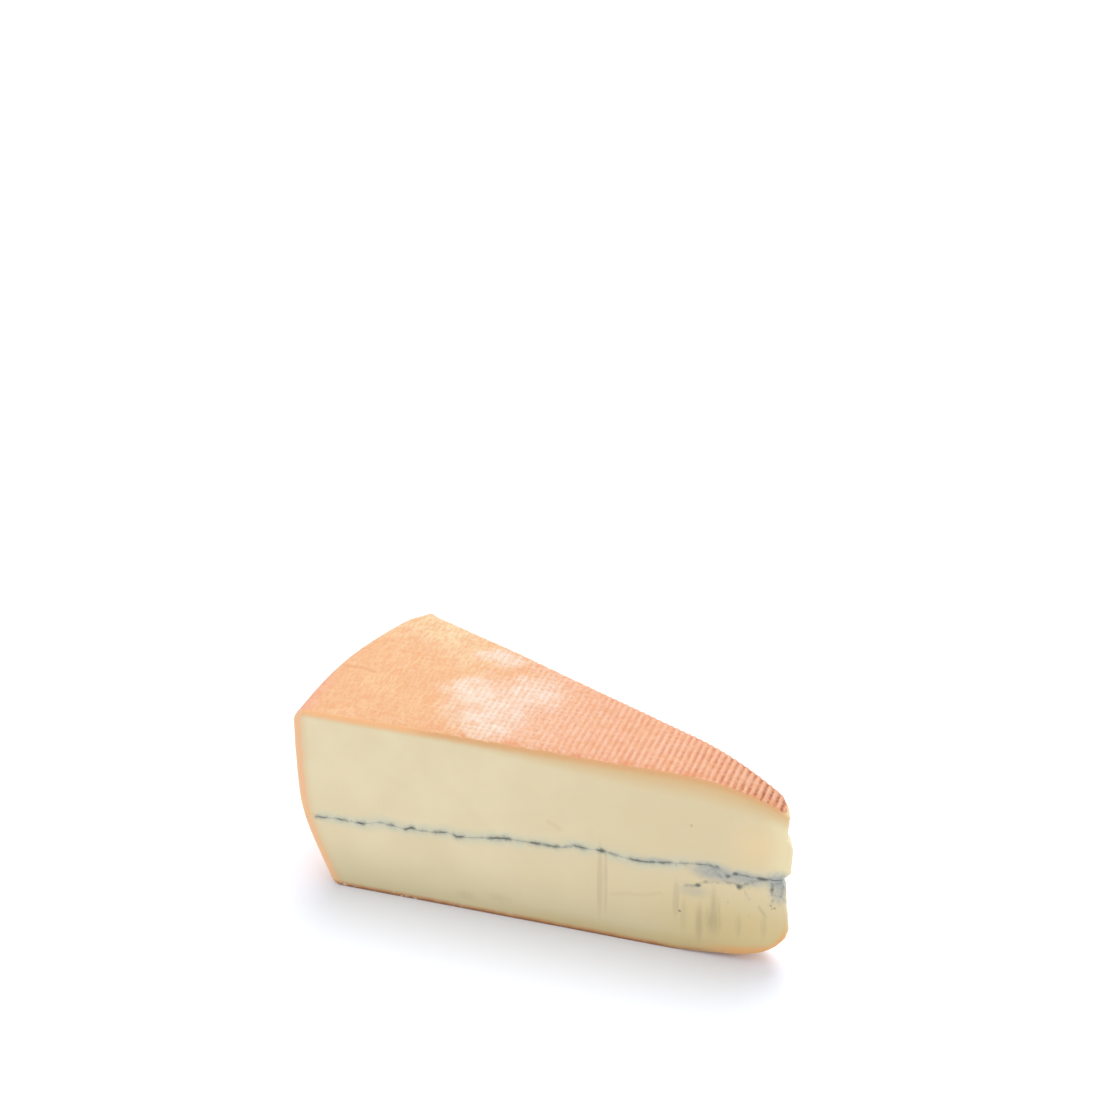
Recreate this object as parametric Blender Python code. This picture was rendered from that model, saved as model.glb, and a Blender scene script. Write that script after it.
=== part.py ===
# A wedge of semi-hard cheese with a layer of ash through its middle, cut from a round wheel.
# The blunt tip points along +X, the heel of the wheel along -X, and the shown cut face looks to -Y.
# It stands on Z = 0, with the origin under the middle of its box. All sizes are in metres.

import math

import bmesh
import bpy
from mathutils import Matrix, Vector, noise

# The whole wheel, and the wedge cut from it
WHEEL_RADIUS = 0.1744
WHEEL_HEIGHT = 0.0652
WEDGE_ANGLE = math.radians(25.35)
TIP_GAP = 0.0113  # from the wheel's centre to the blunt tip, along the shown cut
TIP_LEAN = 0.0024  # how much more the tip is trimmed at the far cut
TIP_LEAN_REACH = 0.012

# The heel: its side bows in slightly from its widest height, and slants in below the shoulder
WIDEST_HEIGHT = 0.0576
SIDE_BOW = 1.2
SLANT_HEIGHT = 0.0268
SLANT_SLOPE = 0.29
SLANT_SOFTNESS = 0.003
HEEL_BULGE = 0.0016  # how far the heel stands out past a true circle, away from the shown cut
BULGE_SHARE = 0.6  # the share of the way across where the bulge is full
FAR_CORNER = 0.0020  # how far the heel's far corner is worn in
FAR_CORNER_START = 0.85  # the share of the way across where that wear begins
TOP_ROUND = (0.0052, 0.0046)
BOTTOM_ROUND = (0.0030, 0.0022)
HEEL_START = 0.09  # the heel's slant and bulge fade out by this distance from the wheel's centre

# The nose: the top droops to it, and the underside lifts off the table and rounds up
NOSE_TOP_ROUND = (0.0026, 0.0030)
NOSE_BOTTOM_ROUND = (0.0155, 0.0140)
DROOP = 0.0078
DROOP_REACH = 0.037
LIFT = 0.0030
LIFT_REACH = (0.011, 0.037)
LIFT_CURVE = 1.2
FOOT_HEIGHT = 0.016  # the rind wraps the foot of the nose up to here

# The torn end of the nose, as depths into it at the heights where it changes
NOTCH_DEPTH = 0.0019
NOTCH_SPREAD = 0.0028
STEP_DEPTH = 0.0015
STEP_HEIGHT = (0.0490, 0.0514)
LOWER_LOBE_DEPTH = 0.0011
LOWER_LOBE_START = (0.012, 0.026)
LOWER_LOBE_END = (0.030, 0.036)
NOSE_EDGE_DEPTH = 0.0012
NOSE_PROUD = 0.0012  # how far the middle of the nose stands out past the trimmed end
NOSE_REACH = 0.014  # the torn relief fades out over this length
CRUMB_DEPTH = 0.0005
CRUMB_SIZE = 0.0035

# The cloth's ribs, pressed across the rind at right angles to the shown cut
RIB_PITCH = 0.00215
RIB_DEPTH = 0.00046
RIB_DEPTH_LAST = 0.00012
LAST_RIB = 55
RIND_SWELL = 0.00022
RIND_SWELL_SIZE = 0.024
WORN_EDGE_DEPTH = 0.0008  # the rind's far edge is worn down over these distances from the tip
WORN_EDGE_REACH = (0.105, 0.145)

# The ash: its height above the table at these distances from the tip, then its own waves
ASH_COURSE = ((0.0, 0.0329), (0.026, 0.0336), (0.047, 0.0310), (0.062, 0.0319),
              (0.085, 0.0298), (0.120, 0.0271), (0.165, 0.0254))
ASH_WAVES = ((0.0210, 0.00035), (0.0083, 0.00022))
ASH_SKEW = 0.12  # how much the waves slant across the layer
ASH_SWELL = 0.0009
ASH_SWELL_SIZE = 0.040
ASH_SWELL_START = 0.020  # the swell is full this far in from the shown cut
ASH_THICKNESS = 0.0008
RIND_AT_HEEL = 0.0036  # the ash ends this far in from the heel
GAP = 0.0003  # kept round the ash, on every side
PAST_CUT = 0.003  # how far the slot's cutter runs past each cut face, and past the tip
PAST_TIP = 0.006

# How finely the shapes are divided, and where in the noise they lie
NOISE_PLACE = 0.05
ACROSS_STEPS = 12
SMOOTH_STEPS = 12
SLOT_STEPS = 56
END_SHARE = 0.01  # the room left at each end of the stations for the slot's own ends
BODY_HEIGHTS = (0, 0.0006, 0.0014, 0.0024, 0.0045, 0.0070, 0.0095, 0.0120, 0.0150, 0.0185, 0.0220, 0.0255,
                0.0290, 0.0315, 0.0335, 0.0355, 0.0385, 0.0430, 0.0475, 0.0500, 0.0545, 0.0590, 0.0614,
                0.0627, 0.0637, 0.0645, WHEEL_HEIGHT)

# Worked out from the sizes above
FACE_LENGTH = WHEEL_RADIUS - TIP_GAP
RIBBED_LENGTH = LAST_RIB * RIB_PITCH
HEEL_X = -0.1759  # where the heel ends, from the wheel's centre
NOSE_X = -0.0105  # where the nose ends, from the wheel's centre
CENTRE_X = -(HEEL_X + NOSE_X) / 2

PASTE_COLOUR = (0.80, 0.69, 0.42, 1)
RIND_COLOUR = (0.86, 0.46, 0.24, 1)
ASH_COLOUR = (0.06, 0.08, 0.09, 1)


def smooth(value, start, end):
    share = min(max((value - start) / (end - start), 0), 1)
    return share * share * (3 - 2 * share)


def soft_corner(across, up, rounding):
    # Moves a point near a square corner to where the corner's quarter ellipse has it
    if across >= rounding[0] or up >= rounding[1]:
        return across, up
    a = 1 - across / rounding[0]
    b = 1 - up / rounding[1]
    across = rounding[0] * (1 - a * math.sqrt(1 - b * b / 2))
    up = rounding[1] * (1 - b * math.sqrt(1 - a * a / 2))
    return across, up


def heel_inset(height):
    # How far the heel's side stands in from the wheel's full radius
    bow = SIDE_BOW * min(height - WIDEST_HEIGHT, 0) ** 2
    below = (SLANT_HEIGHT - height) / SLANT_SOFTNESS
    return bow + SLANT_SLOPE * SLANT_SOFTNESS * math.log1p(math.exp(below))


def nose_depth(height, side, across):
    # How far the torn end of the nose stands in, at a height and a place across
    notch = NOTCH_DEPTH * math.exp(-((height - ASH_COURSE[0][1]) / NOTCH_SPREAD) ** 2)
    step = STEP_DEPTH * smooth(height, *STEP_HEIGHT)
    lower = LOWER_LOBE_DEPTH * smooth(height, *LOWER_LOBE_START) * (1 - smooth(height, *LOWER_LOBE_END))
    crumb = CRUMB_DEPTH * noise.noise(Vector((NOISE_PLACE, across, height)) / CRUMB_SIZE)
    return notch + step + lower + crumb + NOSE_EDGE_DEPTH * side ** 4 - NOSE_PROUD


def plan_radius(along, turn):
    # The distance from the wheel's centre at a distance along the shown cut and an angle from it.
    # Lines across are at right angles to the shown cut, and swing round to the wheel's arc by the heel.
    straight = (TIP_GAP + along) / math.cos(turn)
    straight += TIP_LEAN * turn / WEDGE_ANGLE * (1 - smooth(along, 0, TIP_LEAN_REACH))
    arc = TIP_GAP + along
    share = smooth(along, RIBBED_LENGTH, FACE_LENGTH)
    return straight + (arc - straight) * share


def place(radius, turn, height):
    # A point in the part's own frame
    angle = turn - WEDGE_ANGLE / 2
    return Vector((CENTRE_X - radius * math.cos(angle), radius * math.sin(angle), height))


def rib_drop(along):
    # How far the rind lies under the crests of its ribs
    if along > RIBBED_LENGTH:
        return 0
    depth = RIB_DEPTH + (RIB_DEPTH_LAST - RIB_DEPTH) * along / RIBBED_LENGTH
    return depth * (1 - math.cos(2 * math.pi * along / RIB_PITCH)) / 2


def body_point(s, t, w):
    # The outer form: s runs from the heel to the tip, t from the shown cut to the far one, w up
    along = FACE_LENGTH * (1 - s)
    height = WHEEL_HEIGHT * w
    turn = WEDGE_ANGLE * t
    nose = nose_depth(height, 2 * t - 1, TIP_GAP * turn)
    rib = rib_drop(along)

    along, down = soft_corner(along, WHEEL_HEIGHT - height, NOSE_TOP_ROUND)
    along, height = soft_corner(along, WHEEL_HEIGHT - down, NOSE_BOTTOM_ROUND)
    along += nose * (1 - smooth(along, 0, NOSE_REACH))

    radius = plan_radius(along, turn)
    inner, down = soft_corner(max(WHEEL_RADIUS - radius, 0), WHEEL_HEIGHT - height, TOP_ROUND)
    inner, height = soft_corner(inner, WHEEL_HEIGHT - down, BOTTOM_ROUND)
    heel_share = smooth(radius, HEEL_START, WHEEL_RADIUS)
    bulge = HEEL_BULGE * smooth(t, 0, BULGE_SHARE) - FAR_CORNER * smooth(t, FAR_CORNER_START, 1) ** 2
    radius = WHEEL_RADIUS - inner + (bulge - heel_inset(height)) * heel_share

    reach = radius * math.cos(turn) - TIP_GAP
    share = height / WHEEL_HEIGHT
    droop = DROOP * max(1 - reach / DROOP_REACH, 0) ** 2
    to_tip = (LIFT_REACH[1] - reach) / (LIFT_REACH[1] - LIFT_REACH[0])
    lift = LIFT * min(max(to_tip, 0), 1) ** LIFT_CURVE
    height += lift * (1 - share) - droop * share ** 2
    if w > 0.9999:
        swell = noise.noise(Vector((reach, radius * turn, NOISE_PLACE)) / RIND_SWELL_SIZE)
        height += RIND_SWELL * swell - rib
        if t > 0.9999:
            height -= WORN_EDGE_DEPTH * smooth(reach, *WORN_EDGE_REACH)
    return place(radius, turn, height)


def ash_height(along, across):
    # The middle of the ash layer above the table
    for (start, low), (end, high) in zip(ASH_COURSE, ASH_COURSE[1:]):
        if along <= end:
            break
    height = low + (high - low) * smooth(along, start, end)
    for length, size in ASH_WAVES:
        height += size * math.sin(2 * math.pi * (along + ASH_SKEW * across) / length)
    swell = noise.noise(Vector((along, across, NOISE_PLACE)) / ASH_SWELL_SIZE)
    return height + ASH_SWELL * swell * min(across / ASH_SWELL_START, 1)


def ash_point(s, t, w):
    # The thin wavy layer between the two cut faces
    along = (FACE_LENGTH - heel_inset(ASH_COURSE[-1][1]) - RIND_AT_HEEL) * (1 - s)
    turn = WEDGE_ANGLE * t
    nose = nose_depth(ASH_COURSE[0][1], 2 * t - 1, TIP_GAP * turn)
    along += nose * (1 - smooth(along, 0, NOSE_REACH))
    radius = plan_radius(along, turn)
    middle = ash_height(radius * math.cos(turn) - TIP_GAP, radius * math.sin(turn))
    return place(radius, turn, middle + ASH_THICKNESS * (w - 0.5))


def with_ends(stations):
    # The same stations drawn in a little, with one more at each end
    return [0] + [END_SHARE + (1 - 2 * END_SHARE) * value for value in stations] + [1]


def without_end(value):
    # The place among the stations that with_ends drew in, and whether it is past their start or end
    inner = (value - END_SHARE) / (1 - 2 * END_SHARE)
    return min(max(inner, 0), 1), (value > 0.9999) - (value < 0.0001)


def slot_point(s, t, w):
    # The room round the ash layer, which runs on past the tip and both cuts
    s, past_length = without_end(s)
    t, past_side = without_end(t)
    point = ash_point(s, t, w)
    centre = Vector((CENTRE_X, 0, point.z))
    outward = (point - centre).normalized()
    if past_length:
        point -= outward * (PAST_TIP if past_length > 0 else -GAP)
    if past_side:
        point += Vector((-outward.y, outward.x, 0)) * -PAST_CUT * past_side
    point.z += 2 * GAP * (w - 0.5)
    return point


def divided_box(stations):
    # A unit cube cut into a grid at the stations along each axis
    mesh = bmesh.new()
    bmesh.ops.create_cube(mesh, size=1, matrix=Matrix.Translation((0.5, 0.5, 0.5)))
    for axis, places in enumerate(stations):
        normal = Vector((0, 0, 0))
        normal[axis] = 1
        for value in places:
            if 0 < value < 1:
                geometry = mesh.verts[:] + mesh.edges[:] + mesh.faces[:]
                bmesh.ops.bisect_plane(mesh, geom=geometry, plane_co=normal * value, plane_no=normal)
    return mesh


def even(steps):
    return [step / steps for step in range(steps + 1)]


def body_stations():
    # Two stations for each rib, then wider ones on the plain stretch, closer again by the heel
    ribs = [half * RIB_PITCH / 2 for half in range(2 * LAST_RIB + 1)]
    plain = FACE_LENGTH - RIBBED_LENGTH
    heel = [RIBBED_LENGTH + plain * math.sin(math.pi / 2 * step) for step in even(SMOOTH_STEPS)]
    along = [1 - value / FACE_LENGTH for value in ribs + heel[1:]]
    return along, even(ACROSS_STEPS), [height / WHEEL_HEIGHT for height in BODY_HEIGHTS]


def mark_rind(mesh):
    # The rind covers the top, the underside and the heel, and wraps the foot of the nose
    for face in mesh.faces:
        middle = face.calc_center_median()
        outer = middle.z > 0.9999 or middle.z < 0.0001 or middle.x < 0.0001
        foot = middle.x > 0.9999 and middle.z * WHEEL_HEIGHT < FOOT_HEIGHT
        face.material_index = 1 if outer or foot else 0


def make_object(name, mesh, law, materials, collection):
    for vertex in mesh.verts:
        vertex.co = law(*vertex.co)
    bmesh.ops.recalc_face_normals(mesh, faces=mesh.faces[:])
    data = bpy.data.meshes.new(name)
    mesh.to_mesh(data)
    mesh.free()
    for material in materials:
        data.materials.append(material)
    data.shade_smooth()
    data.set_sharp_from_angle(angle=math.radians(35))
    made = bpy.data.objects.new(name, data)
    collection.objects.link(made)
    return made


def make_material(name, colour, roughness):
    material = bpy.data.materials.new(name)
    material.use_nodes = True
    shader = material.node_tree.nodes["Principled BSDF"]
    shader.inputs["Base Color"].default_value = colour
    shader.inputs["Roughness"].default_value = roughness
    shader.inputs["Metallic"].default_value = 0
    return material


def make_collection(name):
    collection = bpy.data.collections.new(name)
    bpy.context.scene.collection.children.link(collection)
    return collection


def make_cheese(collection):
    paste = make_material("paste", PASTE_COLOUR, 0.45)
    rind = make_material("rind", RIND_COLOUR, 0.75)
    mesh = divided_box(body_stations())
    mark_rind(mesh)
    return make_object("cheese", mesh, body_point, (paste, rind), collection)


def make_ash(collection):
    ash = make_material("ash", ASH_COLOUR, 0.8)
    mesh = divided_box((even(SLOT_STEPS), even(ACROSS_STEPS), (0, 1)))
    return make_object("ash_layer", mesh, ash_point, (ash,), collection)


def cut_slot(cheese, collection):
    # The room for the ash is open at both cuts and at the tip, and closed by the rind at the heel
    mesh = divided_box((with_ends(even(SLOT_STEPS)), with_ends(even(ACROSS_STEPS)), (0, 1)))
    cutter = make_object("slot_cutter", mesh, slot_point, (), collection)
    cutter.hide_render = True
    cutter.display_type = "WIRE"
    cut = cheese.modifiers.new("ash slot", "BOOLEAN")
    cut.operation = "DIFFERENCE"
    cut.solver = "EXACT"
    cut.object = cutter


def main():
    for old in list(bpy.data.objects):
        bpy.data.objects.remove(old, do_unlink=True)
    wedge = make_collection("cheese_wedge")
    cutters = make_collection("cutters")
    cheese = make_cheese(wedge)
    make_ash(wedge)
    cut_slot(cheese, cutters)


main()
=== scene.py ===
# A wedge of morbier: two layers of curd with ash between them, in a rind that its cloth has ribbed.
# The blunt tip points along +X and the heel along -X, and the shown cut face looks to -Y.
# Sizes of the form are in metres. What the materials read from the mesh is in millimetres.

import math
from functools import lru_cache

import bmesh
import bpy
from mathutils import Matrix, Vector, noise


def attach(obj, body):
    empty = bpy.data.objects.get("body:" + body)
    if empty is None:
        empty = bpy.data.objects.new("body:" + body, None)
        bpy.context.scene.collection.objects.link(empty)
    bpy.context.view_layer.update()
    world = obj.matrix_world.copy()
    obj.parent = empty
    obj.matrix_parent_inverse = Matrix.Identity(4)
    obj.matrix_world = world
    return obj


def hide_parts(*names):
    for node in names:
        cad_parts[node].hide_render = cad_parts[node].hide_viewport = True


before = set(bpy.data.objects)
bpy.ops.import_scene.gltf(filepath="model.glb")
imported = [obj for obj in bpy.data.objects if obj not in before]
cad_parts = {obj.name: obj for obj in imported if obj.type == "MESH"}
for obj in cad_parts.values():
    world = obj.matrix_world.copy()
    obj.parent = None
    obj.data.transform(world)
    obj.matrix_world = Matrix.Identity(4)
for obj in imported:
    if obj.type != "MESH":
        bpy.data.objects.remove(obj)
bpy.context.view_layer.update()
print("the packed wedge is loaded")

mm = 1000

wheel = {
    "radius": 0.1744,
    "height": 0.0652,
    "angle": math.radians(25.35),
    "centreX": 0.0932,  # the wheel's centre, in the part's own frame
    "tipGap": 0.0113,  # from the wheel's centre to the blunt tip, along the shown cut
    "tipLean": 0.0024,  # how much more the tip is trimmed at the far cut
    "tipLeanReach": 0.012,
    "swingStart": 0.11825,  # from here on, lines across swing to the wheel's arc
}
faceLength = wheel["radius"] - wheel["tipGap"]
brink = 0.0001  # a share this near 0 or 1 is on the wedge's outside
tiny = 1e-6


def smooth(value, start, end):
    share = min(max((value - start) / (end - start), 0), 1)
    return share * share * (3 - 2 * share)


def bell(value, middle, spread):
    return math.exp(-((value - middle) / spread) ** 2)


def softLeast(first, second):
    # The smaller of two distances, rounded off where they are alike
    return (max(first, 1e-5) ** -3 + max(second, 1e-5) ** -3) ** (-1 / 3)


def readTable(table, value):
    # Reads a table of places and values, with a straight run between them
    for (start, low), (end, high) in zip(table, table[1:]):
        if value <= end:
            break
    share = min(max((value - start) / (end - start), 0), 1)
    return low + (high - low) * share


def softCorner(across, up, rounding):
    # Moves a point near a square corner to where the corner's quarter ellipse has it
    if across >= rounding[0] or up >= rounding[1]:
        return across, up
    a = 1 - across / rounding[0]
    b = 1 - up / rounding[1]
    across = rounding[0] * (1 - a * math.sqrt(1 - b * b / 2))
    up = rounding[1] * (1 - b * math.sqrt(1 - a * a / 2))
    return across, up


# The heel: its side bows in from its widest height, and slants in below the shoulder
heel = {
    "widestHeight": 0.0576,
    "bow": 1.2,
    "slantHeight": 0.0268,
    "slantSlope": 0.29,
    "slantSoftness": 0.003,
    "bulge": 0.0016,
    "bulgeShare": 0.6,
    "farCorner": 0.0020,
    "farCornerStart": 0.85,
    "topRound": (0.0052, 0.0046),
    "bottomRound": (0.0030, 0.0022),
    "start": 0.09,  # the slant and the bulge begin this far from the wheel's centre
    "dent": 0.00028,
    "dentSize": (0.011, 0.017),  # across and up
    "dentSeed": 0.3,
    "fineDents": (0.3, 3.1),  # their share, and how much closer together they lie
}


def heelInset(height):
    bow = heel["bow"] * min(height - heel["widestHeight"], 0) ** 2
    below = (heel["slantHeight"] - height) / heel["slantSoftness"]
    return bow + heel["slantSlope"] * heel["slantSoftness"] * math.log1p(math.exp(below))


def heelDent(turn, height):
    # The side was bound by a hoop, and dried with shallow dents
    across, up = heel["dentSize"]
    share, closer = heel["fineDents"]
    spot = Vector((wheel["radius"] * turn / across, height / up, heel["dentSeed"]))
    return heel["dent"] * (0.5 + 0.5 * noise.noise(spot) + share * noise.noise(spot * closer))


def heelBulge(t):
    # How far the heel stands out past a true circle, less the wear of its far corner
    bulge = heel["bulge"] * smooth(t, 0, heel["bulgeShare"])
    return bulge - heel["farCorner"] * smooth(t, heel["farCornerStart"], 1) ** 2


# The nose: the top droops to it, the underside lifts off the table, and its end is torn
nose = {
    "topRound": (0.0026, 0.0030),
    "bottomRound": (0.0155, 0.0140),
    "droop": 0.0078,
    "droopReach": 0.037,
    "lift": 0.0030,
    "liftReach": (0.011, 0.037),
    "liftCurve": 1.2,
    "footHeight": 0.006,  # the rind wraps the foot of the nose up to here, and fades out above
    "footFade": (1.6, 0.45),  # how fast it fades inwards and upwards
    "footRind": 0.9,  # in millimetres: the nose's faces are rind where it is no further off than this
    "notchDepth": 0.0019,
    "notchSpread": 0.0028,
    "notchHeight": 0.0331,
    "stepDepth": 0.0015,
    "stepHeight": (0.0490, 0.0514),
    "lobeDepth": 0.0011,
    "lobeStart": (0.012, 0.026),
    "lobeEnd": (0.030, 0.036),
    "edgeDepth": 0.0012,
    "proud": 0.0012,
    "reach": 0.014,
    "crumbs": ((0.0035, 0.00050), (0.0014, 0.00022), (0.0007, 0.00010)),  # sizes and depths
    "crumbSeed": 0.05,
    "fineCrumbs": (0.012, 0.018),  # the finer crumbs begin between these heights
}


def noseDepth(height, side, across):
    # How far the torn end stands in, at a height and a place across
    notch = nose["notchDepth"] * bell(height, nose["notchHeight"], nose["notchSpread"])
    step = nose["stepDepth"] * smooth(height, *nose["stepHeight"])
    lobe = nose["lobeDepth"] * smooth(height, *nose["lobeStart"]) * (1 - smooth(height, *nose["lobeEnd"]))
    depth = notch + step + lobe + nose["edgeDepth"] * side ** 4 - nose["proud"]
    torn = smooth(height, *nose["fineCrumbs"])
    for place, (size, relief) in enumerate(nose["crumbs"]):
        share = 1 if place == 0 else torn
        depth += share * relief * noise.noise(Vector((nose["crumbSeed"], across, height)) / size)
    return depth


def noseLift(reach, height):
    # What the droop of the top and the lift of the underside add to a height
    share = height / wheel["height"]
    droop = nose["droop"] * max(1 - reach / nose["droopReach"], 0) ** 2
    start, end = nose["liftReach"]
    lift = nose["lift"] * min(max((end - reach) / (end - start), 0), 1) ** nose["liftCurve"]
    return lift * (1 - share) - droop * share ** 2


def planRadius(back, turn):
    # Lines across the wedge are at right angles to the shown cut, and swing to the wheel's arc by the heel
    straight = (wheel["tipGap"] + back) / math.cos(turn)
    lean = wheel["tipLean"] * turn / wheel["angle"]
    straight += lean * (1 - smooth(back, 0, wheel["tipLeanReach"]))
    arc = wheel["tipGap"] + back
    return straight + (arc - straight) * smooth(back, wheel["swingStart"], faceLength)


# The cloth's threads: ribs across the wedge, and weaker strands along it
cloth = {
    "seed": 0.1,
    "pitch": 0.00215,
    "ribSharpness": 1.3,
    "finerFrom": 0.078,  # past here the ribs grow finer
    "finerRate": 1000,
    "depths": ((0, 0.00046), (0.060, 0.00036), (0.100, 0.00024), (0.115, 0.00014), (0.130, 0.00009),
               (0.165, 0.00005)),
    "uneven": ((0.25, 0.005), (0.35, 0.0013)),  # shares and sizes
    "wander": 0.00028,
    "wanderSize": 0.016,
    "strandPitch": 0.0023,
    "strandDepth": 0.00010,
    "strandShare": 0.35,  # the strands' depth where they don't break the ribs
    "strandWander": (0.3, 0.009),
    "strandFade": (0.112, 0.130),
    "strandLoss": 0.7,
    "dotted": 0.55,  # how far the strands break the ribs into dots
    "dottedFrom": (0.060, 0.090),
    "leastShade": 0.3,
    "mostShade": 1.4,
    "undersideShare": 0.55,
    "undersideShift": (0.4, 0.2),  # the underside has its print from another stretch of the cloth
    "undersideReach": (0.002, 0.02),
    "swell": 0.00022,
    "swellSize": 0.024,
    "swellSeed": 0.05,
    "wornEdge": 0.0008,
    "wornReach": (0.105, 0.145),
    "wornWidth": 0.005,
    "raggedEdge": 0.0007,
    "raggedWidth": 0.0026,
    "raggedSize": 0.0019,
    "raggedSeed": (0.3, 0.6),
    "raggedShare": 0.35,
    "raggedStart": (0.02, 0.06),
    "raggedEnd": (0.125, 0.15),
    "dropReach": 0.003,  # the sides follow the top's drop this far down
    "heelFade": 0.008,  # the top's drop fades out over this length by the heel
}
crease = {
    "line": ((0.1594, 0.0309), (0.1556, 0.0301), (0.1516, 0.0307), (0.1466, 0.0295)),
    "start": 0.14,
    "depth": 0.00014,
    "width": 0.0012,
}


def threadWave(phase):
    return (1 - math.cos(2 * math.pi * phase)) / 2


def weave(reach, across):
    # How far the rind lies under its crests, and how much painted shade its grooves get
    spot = Vector((reach, across, cloth["seed"]))
    drift = cloth["wander"] * noise.noise(spot / cloth["wanderSize"])
    finer = cloth["finerRate"] * max(reach - cloth["finerFrom"], 0) ** 2 / 2
    rib = threadWave((reach + drift) / cloth["pitch"] + finer) ** cloth["ribSharpness"]
    sway, size = cloth["strandWander"]
    strand = threadWave((across + 2 * drift) / cloth["strandPitch"] + sway * noise.noise(spot / size))
    uneven = 1 + sum(share * noise.noise(spot / size) for share, size in cloth["uneven"])
    depth = readTable(cloth["depths"], reach) * uneven
    dotted = smooth(reach, *cloth["dottedFrom"])
    crossed = rib * (1 - cloth["dotted"] * dotted * (1 - strand))
    strands = cloth["strandDepth"] * (cloth["strandShare"] + (1 - cloth["strandShare"]) * dotted)
    strands *= 1 - cloth["strandLoss"] * smooth(reach, *cloth["strandFade"])
    drop = depth * crossed + strands * strand * uneven
    least = cloth["leastShade"]
    shade = crossed * uneven * (least + (1 - least) * depth / cloth["depths"][0][1])
    return max(drop, 0), min(max(shade, 0), cloth["mostShade"])


def raggedDrop(reach, across):
    # The bites along the rind's near edge
    near = max(1 - across / cloth["raggedWidth"], 0) ** 2
    bites = noise.noise(Vector((reach, *cloth["raggedSeed"])) / cloth["raggedSize"])
    ends = smooth(reach, *cloth["raggedStart"]) * (1 - smooth(reach, *cloth["raggedEnd"]))
    return cloth["raggedEdge"] * near * max(cloth["raggedShare"] + bites, 0) * ends


def lineGap(point, line):
    # The distance from a point to the nearest stretch of a line
    nearest = 1
    for start, end in zip(line, line[1:]):
        first = Vector(start)
        run = Vector(end) - first
        share = min(max((Vector(point) - first).dot(run) / run.length_squared, 0), 1)
        nearest = min(nearest, (Vector(point) - first - run * share).length)
    return nearest


def topDrop(reach, across, edgeGap):
    # How far the top lies under the wheel's full height
    drop, shade = weave(reach, across)
    drop -= cloth["swell"] * noise.noise(Vector((reach, across, cloth["swellSeed"])) / cloth["swellSize"])
    worn = max(1 - edgeGap / cloth["wornWidth"], 0) ** 2
    drop += cloth["wornEdge"] * worn * smooth(reach, *cloth["wornReach"])
    drop += raggedDrop(reach, across)
    if reach > crease["start"]:
        drop += crease["depth"] * bell(lineGap((reach, across), crease["line"]), 0, crease["width"])
    return drop, shade


# The knife's faint waves in both cut faces, always inward
knife = {
    "depth": 0.00022,
    "size": (0.034, 0.012),  # along and up
    "shownSeed": 0.2,
    "farSeed": 7.2,
}


def knifeDepth(reach, height, seed):
    spot = Vector((reach / knife["size"][0], height / knife["size"][1], seed))
    return knife["depth"] * (0.5 + 0.5 * noise.noise(spot))


class Spot:
    # A place on the wedge or in it, and what the finish needs to know of it
    pass


def bodySpot(s, t, w):
    # s runs from the heel to the tip, t from the shown cut to the far one, and w up
    spot = Spot()
    back = faceLength * (1 - s)
    height = wheel["height"] * w
    turn = wheel["angle"] * t
    torn = noseDepth(height, 2 * t - 1, wheel["tipGap"] * turn)
    inwards, upwards = nose["footFade"]
    fromFoot = inwards * back + upwards * max(height - nose["footHeight"], 0)
    spot.fromTop = wheel["height"] - height
    spot.fromUnder = softLeast(height, fromFoot)

    back, down = softCorner(back, wheel["height"] - height, nose["topRound"])
    back, height = softCorner(back, wheel["height"] - down, nose["bottomRound"])
    back += torn * (1 - smooth(back, 0, nose["reach"]))

    radius = planRadius(back, turn)
    inner = max(wheel["radius"] - radius, 0)
    spot.fromHeel = inner
    inner, down = softCorner(inner, wheel["height"] - height, heel["topRound"])
    inner, height = softCorner(inner, wheel["height"] - down, heel["bottomRound"])
    heelShare = smooth(radius, heel["start"], wheel["radius"])
    if s < brink:
        inner += heelDent(turn, height)
    radius = wheel["radius"] - inner + (heelBulge(t) - heelInset(height)) * heelShare

    reach = radius * math.cos(turn) - wheel["tipGap"]
    across = radius * math.sin(turn)
    height += noseLift(reach, height)

    # How much painted shade the rind's grooves get here, on the top and the underside
    spot.groove = 0
    lid = max(1 - spot.fromTop / cloth["dropReach"], 0) ** 2
    if lid > 0:
        drop, groove = topDrop(reach, across, radius * (wheel["angle"] - turn))
        height -= drop * lid * smooth(spot.fromHeel, 0, cloth["heelFade"])
        spot.groove = groove if w > 1 - brink else 0
    if w < brink:
        shiftAlong, shiftAcross = cloth["undersideShift"]
        drop, spot.groove = weave(reach + shiftAlong, across + shiftAcross)
        height += cloth["undersideShare"] * drop * smooth(reach, *cloth["undersideReach"])
    if t < brink:
        turn += knifeDepth(reach, height, knife["shownSeed"]) / radius
    if t > 1 - brink:
        turn -= knifeDepth(reach, height, knife["farSeed"]) / radius

    spot.reach = reach
    spot.across = across
    spot.farGap = radius * (wheel["angle"] - turn)
    side = turn - wheel["angle"] / 2
    spot.point = Vector((wheel["centreX"] - radius * math.cos(side), radius * math.sin(side), height))
    return spot


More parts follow.
